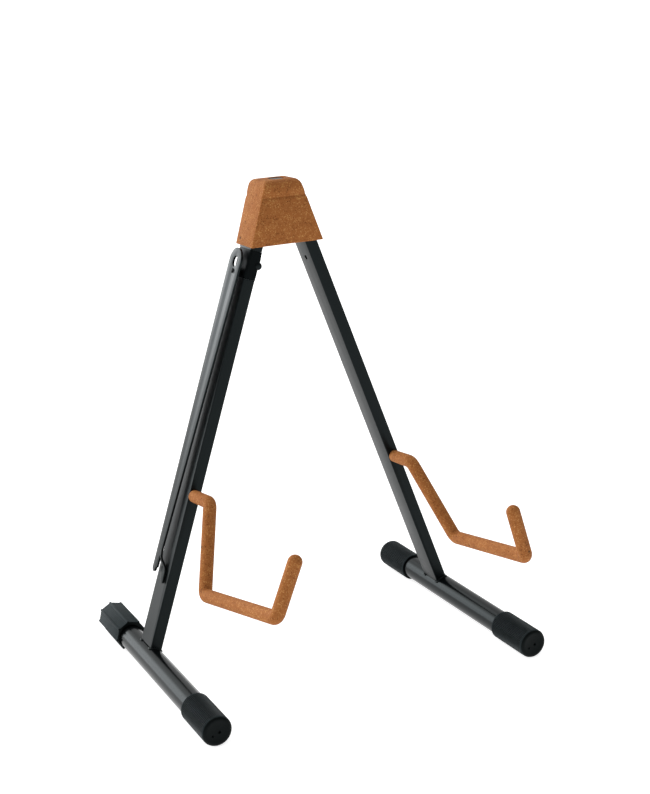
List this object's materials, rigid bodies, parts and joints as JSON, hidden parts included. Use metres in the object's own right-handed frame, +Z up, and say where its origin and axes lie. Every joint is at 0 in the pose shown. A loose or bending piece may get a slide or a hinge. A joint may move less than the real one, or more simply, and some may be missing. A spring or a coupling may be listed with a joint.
{
  "type": "folding instrument stand",
  "caption": "Folding A-frame floor stand with a cork-faced head, tubular feet, upturned cork arms and a swinging locking bar.",
  "frame": {"origin": "on the floor, under the middle of the whole stand's box", "axes": "+Z up, -Y to the side the arms reach out to (the front), +X to the right as seen from the front; metres"},
  "size_m": [0.3767, 0.365, 0.4855],
  "materials": {
    "black_paint": "satin black powder coat",
    "gloss_black_paint": "semi-gloss black powder coat",
    "cork": "bare agglomerated cork, matt",
    "cap_rubber": "charcoal moulded rubber, ribbed",
    "black_plastic": "matt black moulded plastic",
    "grey_plastic": "dark grey moulded plastic",
    "zinc_steel": "bright zinc plate",
    "rod_steel": "plain drawn steel, hidden in the cork"
  },
  "bodies": {
    "right_side": {"right_leg": "black_paint", "right_foot_tube": "gloss_black_paint", "right_front_cap": "cap_rubber", "right_rear_cap": "cap_rubber", "leg_rivet_1": "zinc_steel", "leg_rivet_2": "zinc_steel", "bracket_rivet_1": "zinc_steel", "bracket_rivet_2": "zinc_steel", "hinge_bracket": "black_paint", "head_core": "black_plastic", "head_cork": "cork", "head_badge": "grey_plastic", "right_arm_rod": "rod_steel", "right_arm_cork": "cork", "right_arm_screw": "zinc_steel", "right_arm_washer": "zinc_steel"},
    "left_side": {"left_leg": "black_paint", "left_foot_tube": "gloss_black_paint", "left_front_cap": "cap_rubber", "hinge_knuckle": "black_plastic", "fold_pin": "black_paint", "bar_spacer": "black_plastic", "bar_rivet": "black_paint", "left_arm_rod": "rod_steel", "left_arm_cork": "cork", "left_arm_screw": "zinc_steel", "left_arm_washer": "zinc_steel"},
    "levelling_foot": {"levelling_cap": "cap_rubber"},
    "lock_bar": {"locking_bar": "black_paint"}
  },
  "joints": [
    {"name": "left_leg_fold", "type": "hinge", "parent": "right_side", "child": "left_side", "pos_m": [-0.02822, 0.07103, 0.40264], "axis": [0, -1, 0], "range_deg": [0, 38.66]},
    {"name": "levelling_cap_turn", "type": "hinge", "parent": "left_side", "child": "levelling_foot", "pos_m": [-0.17159, 0.15253, 0.01491], "axis": [0, 1, 0], "continuous": true},
    {"name": "locking_bar_swing", "type": "hinge", "parent": "left_side", "child": "lock_bar", "pos_m": [-0.04855, 0.07213, 0.39875], "axis": [0.9436, 0, -0.331], "range_deg": [0, 75]}
  ]
}
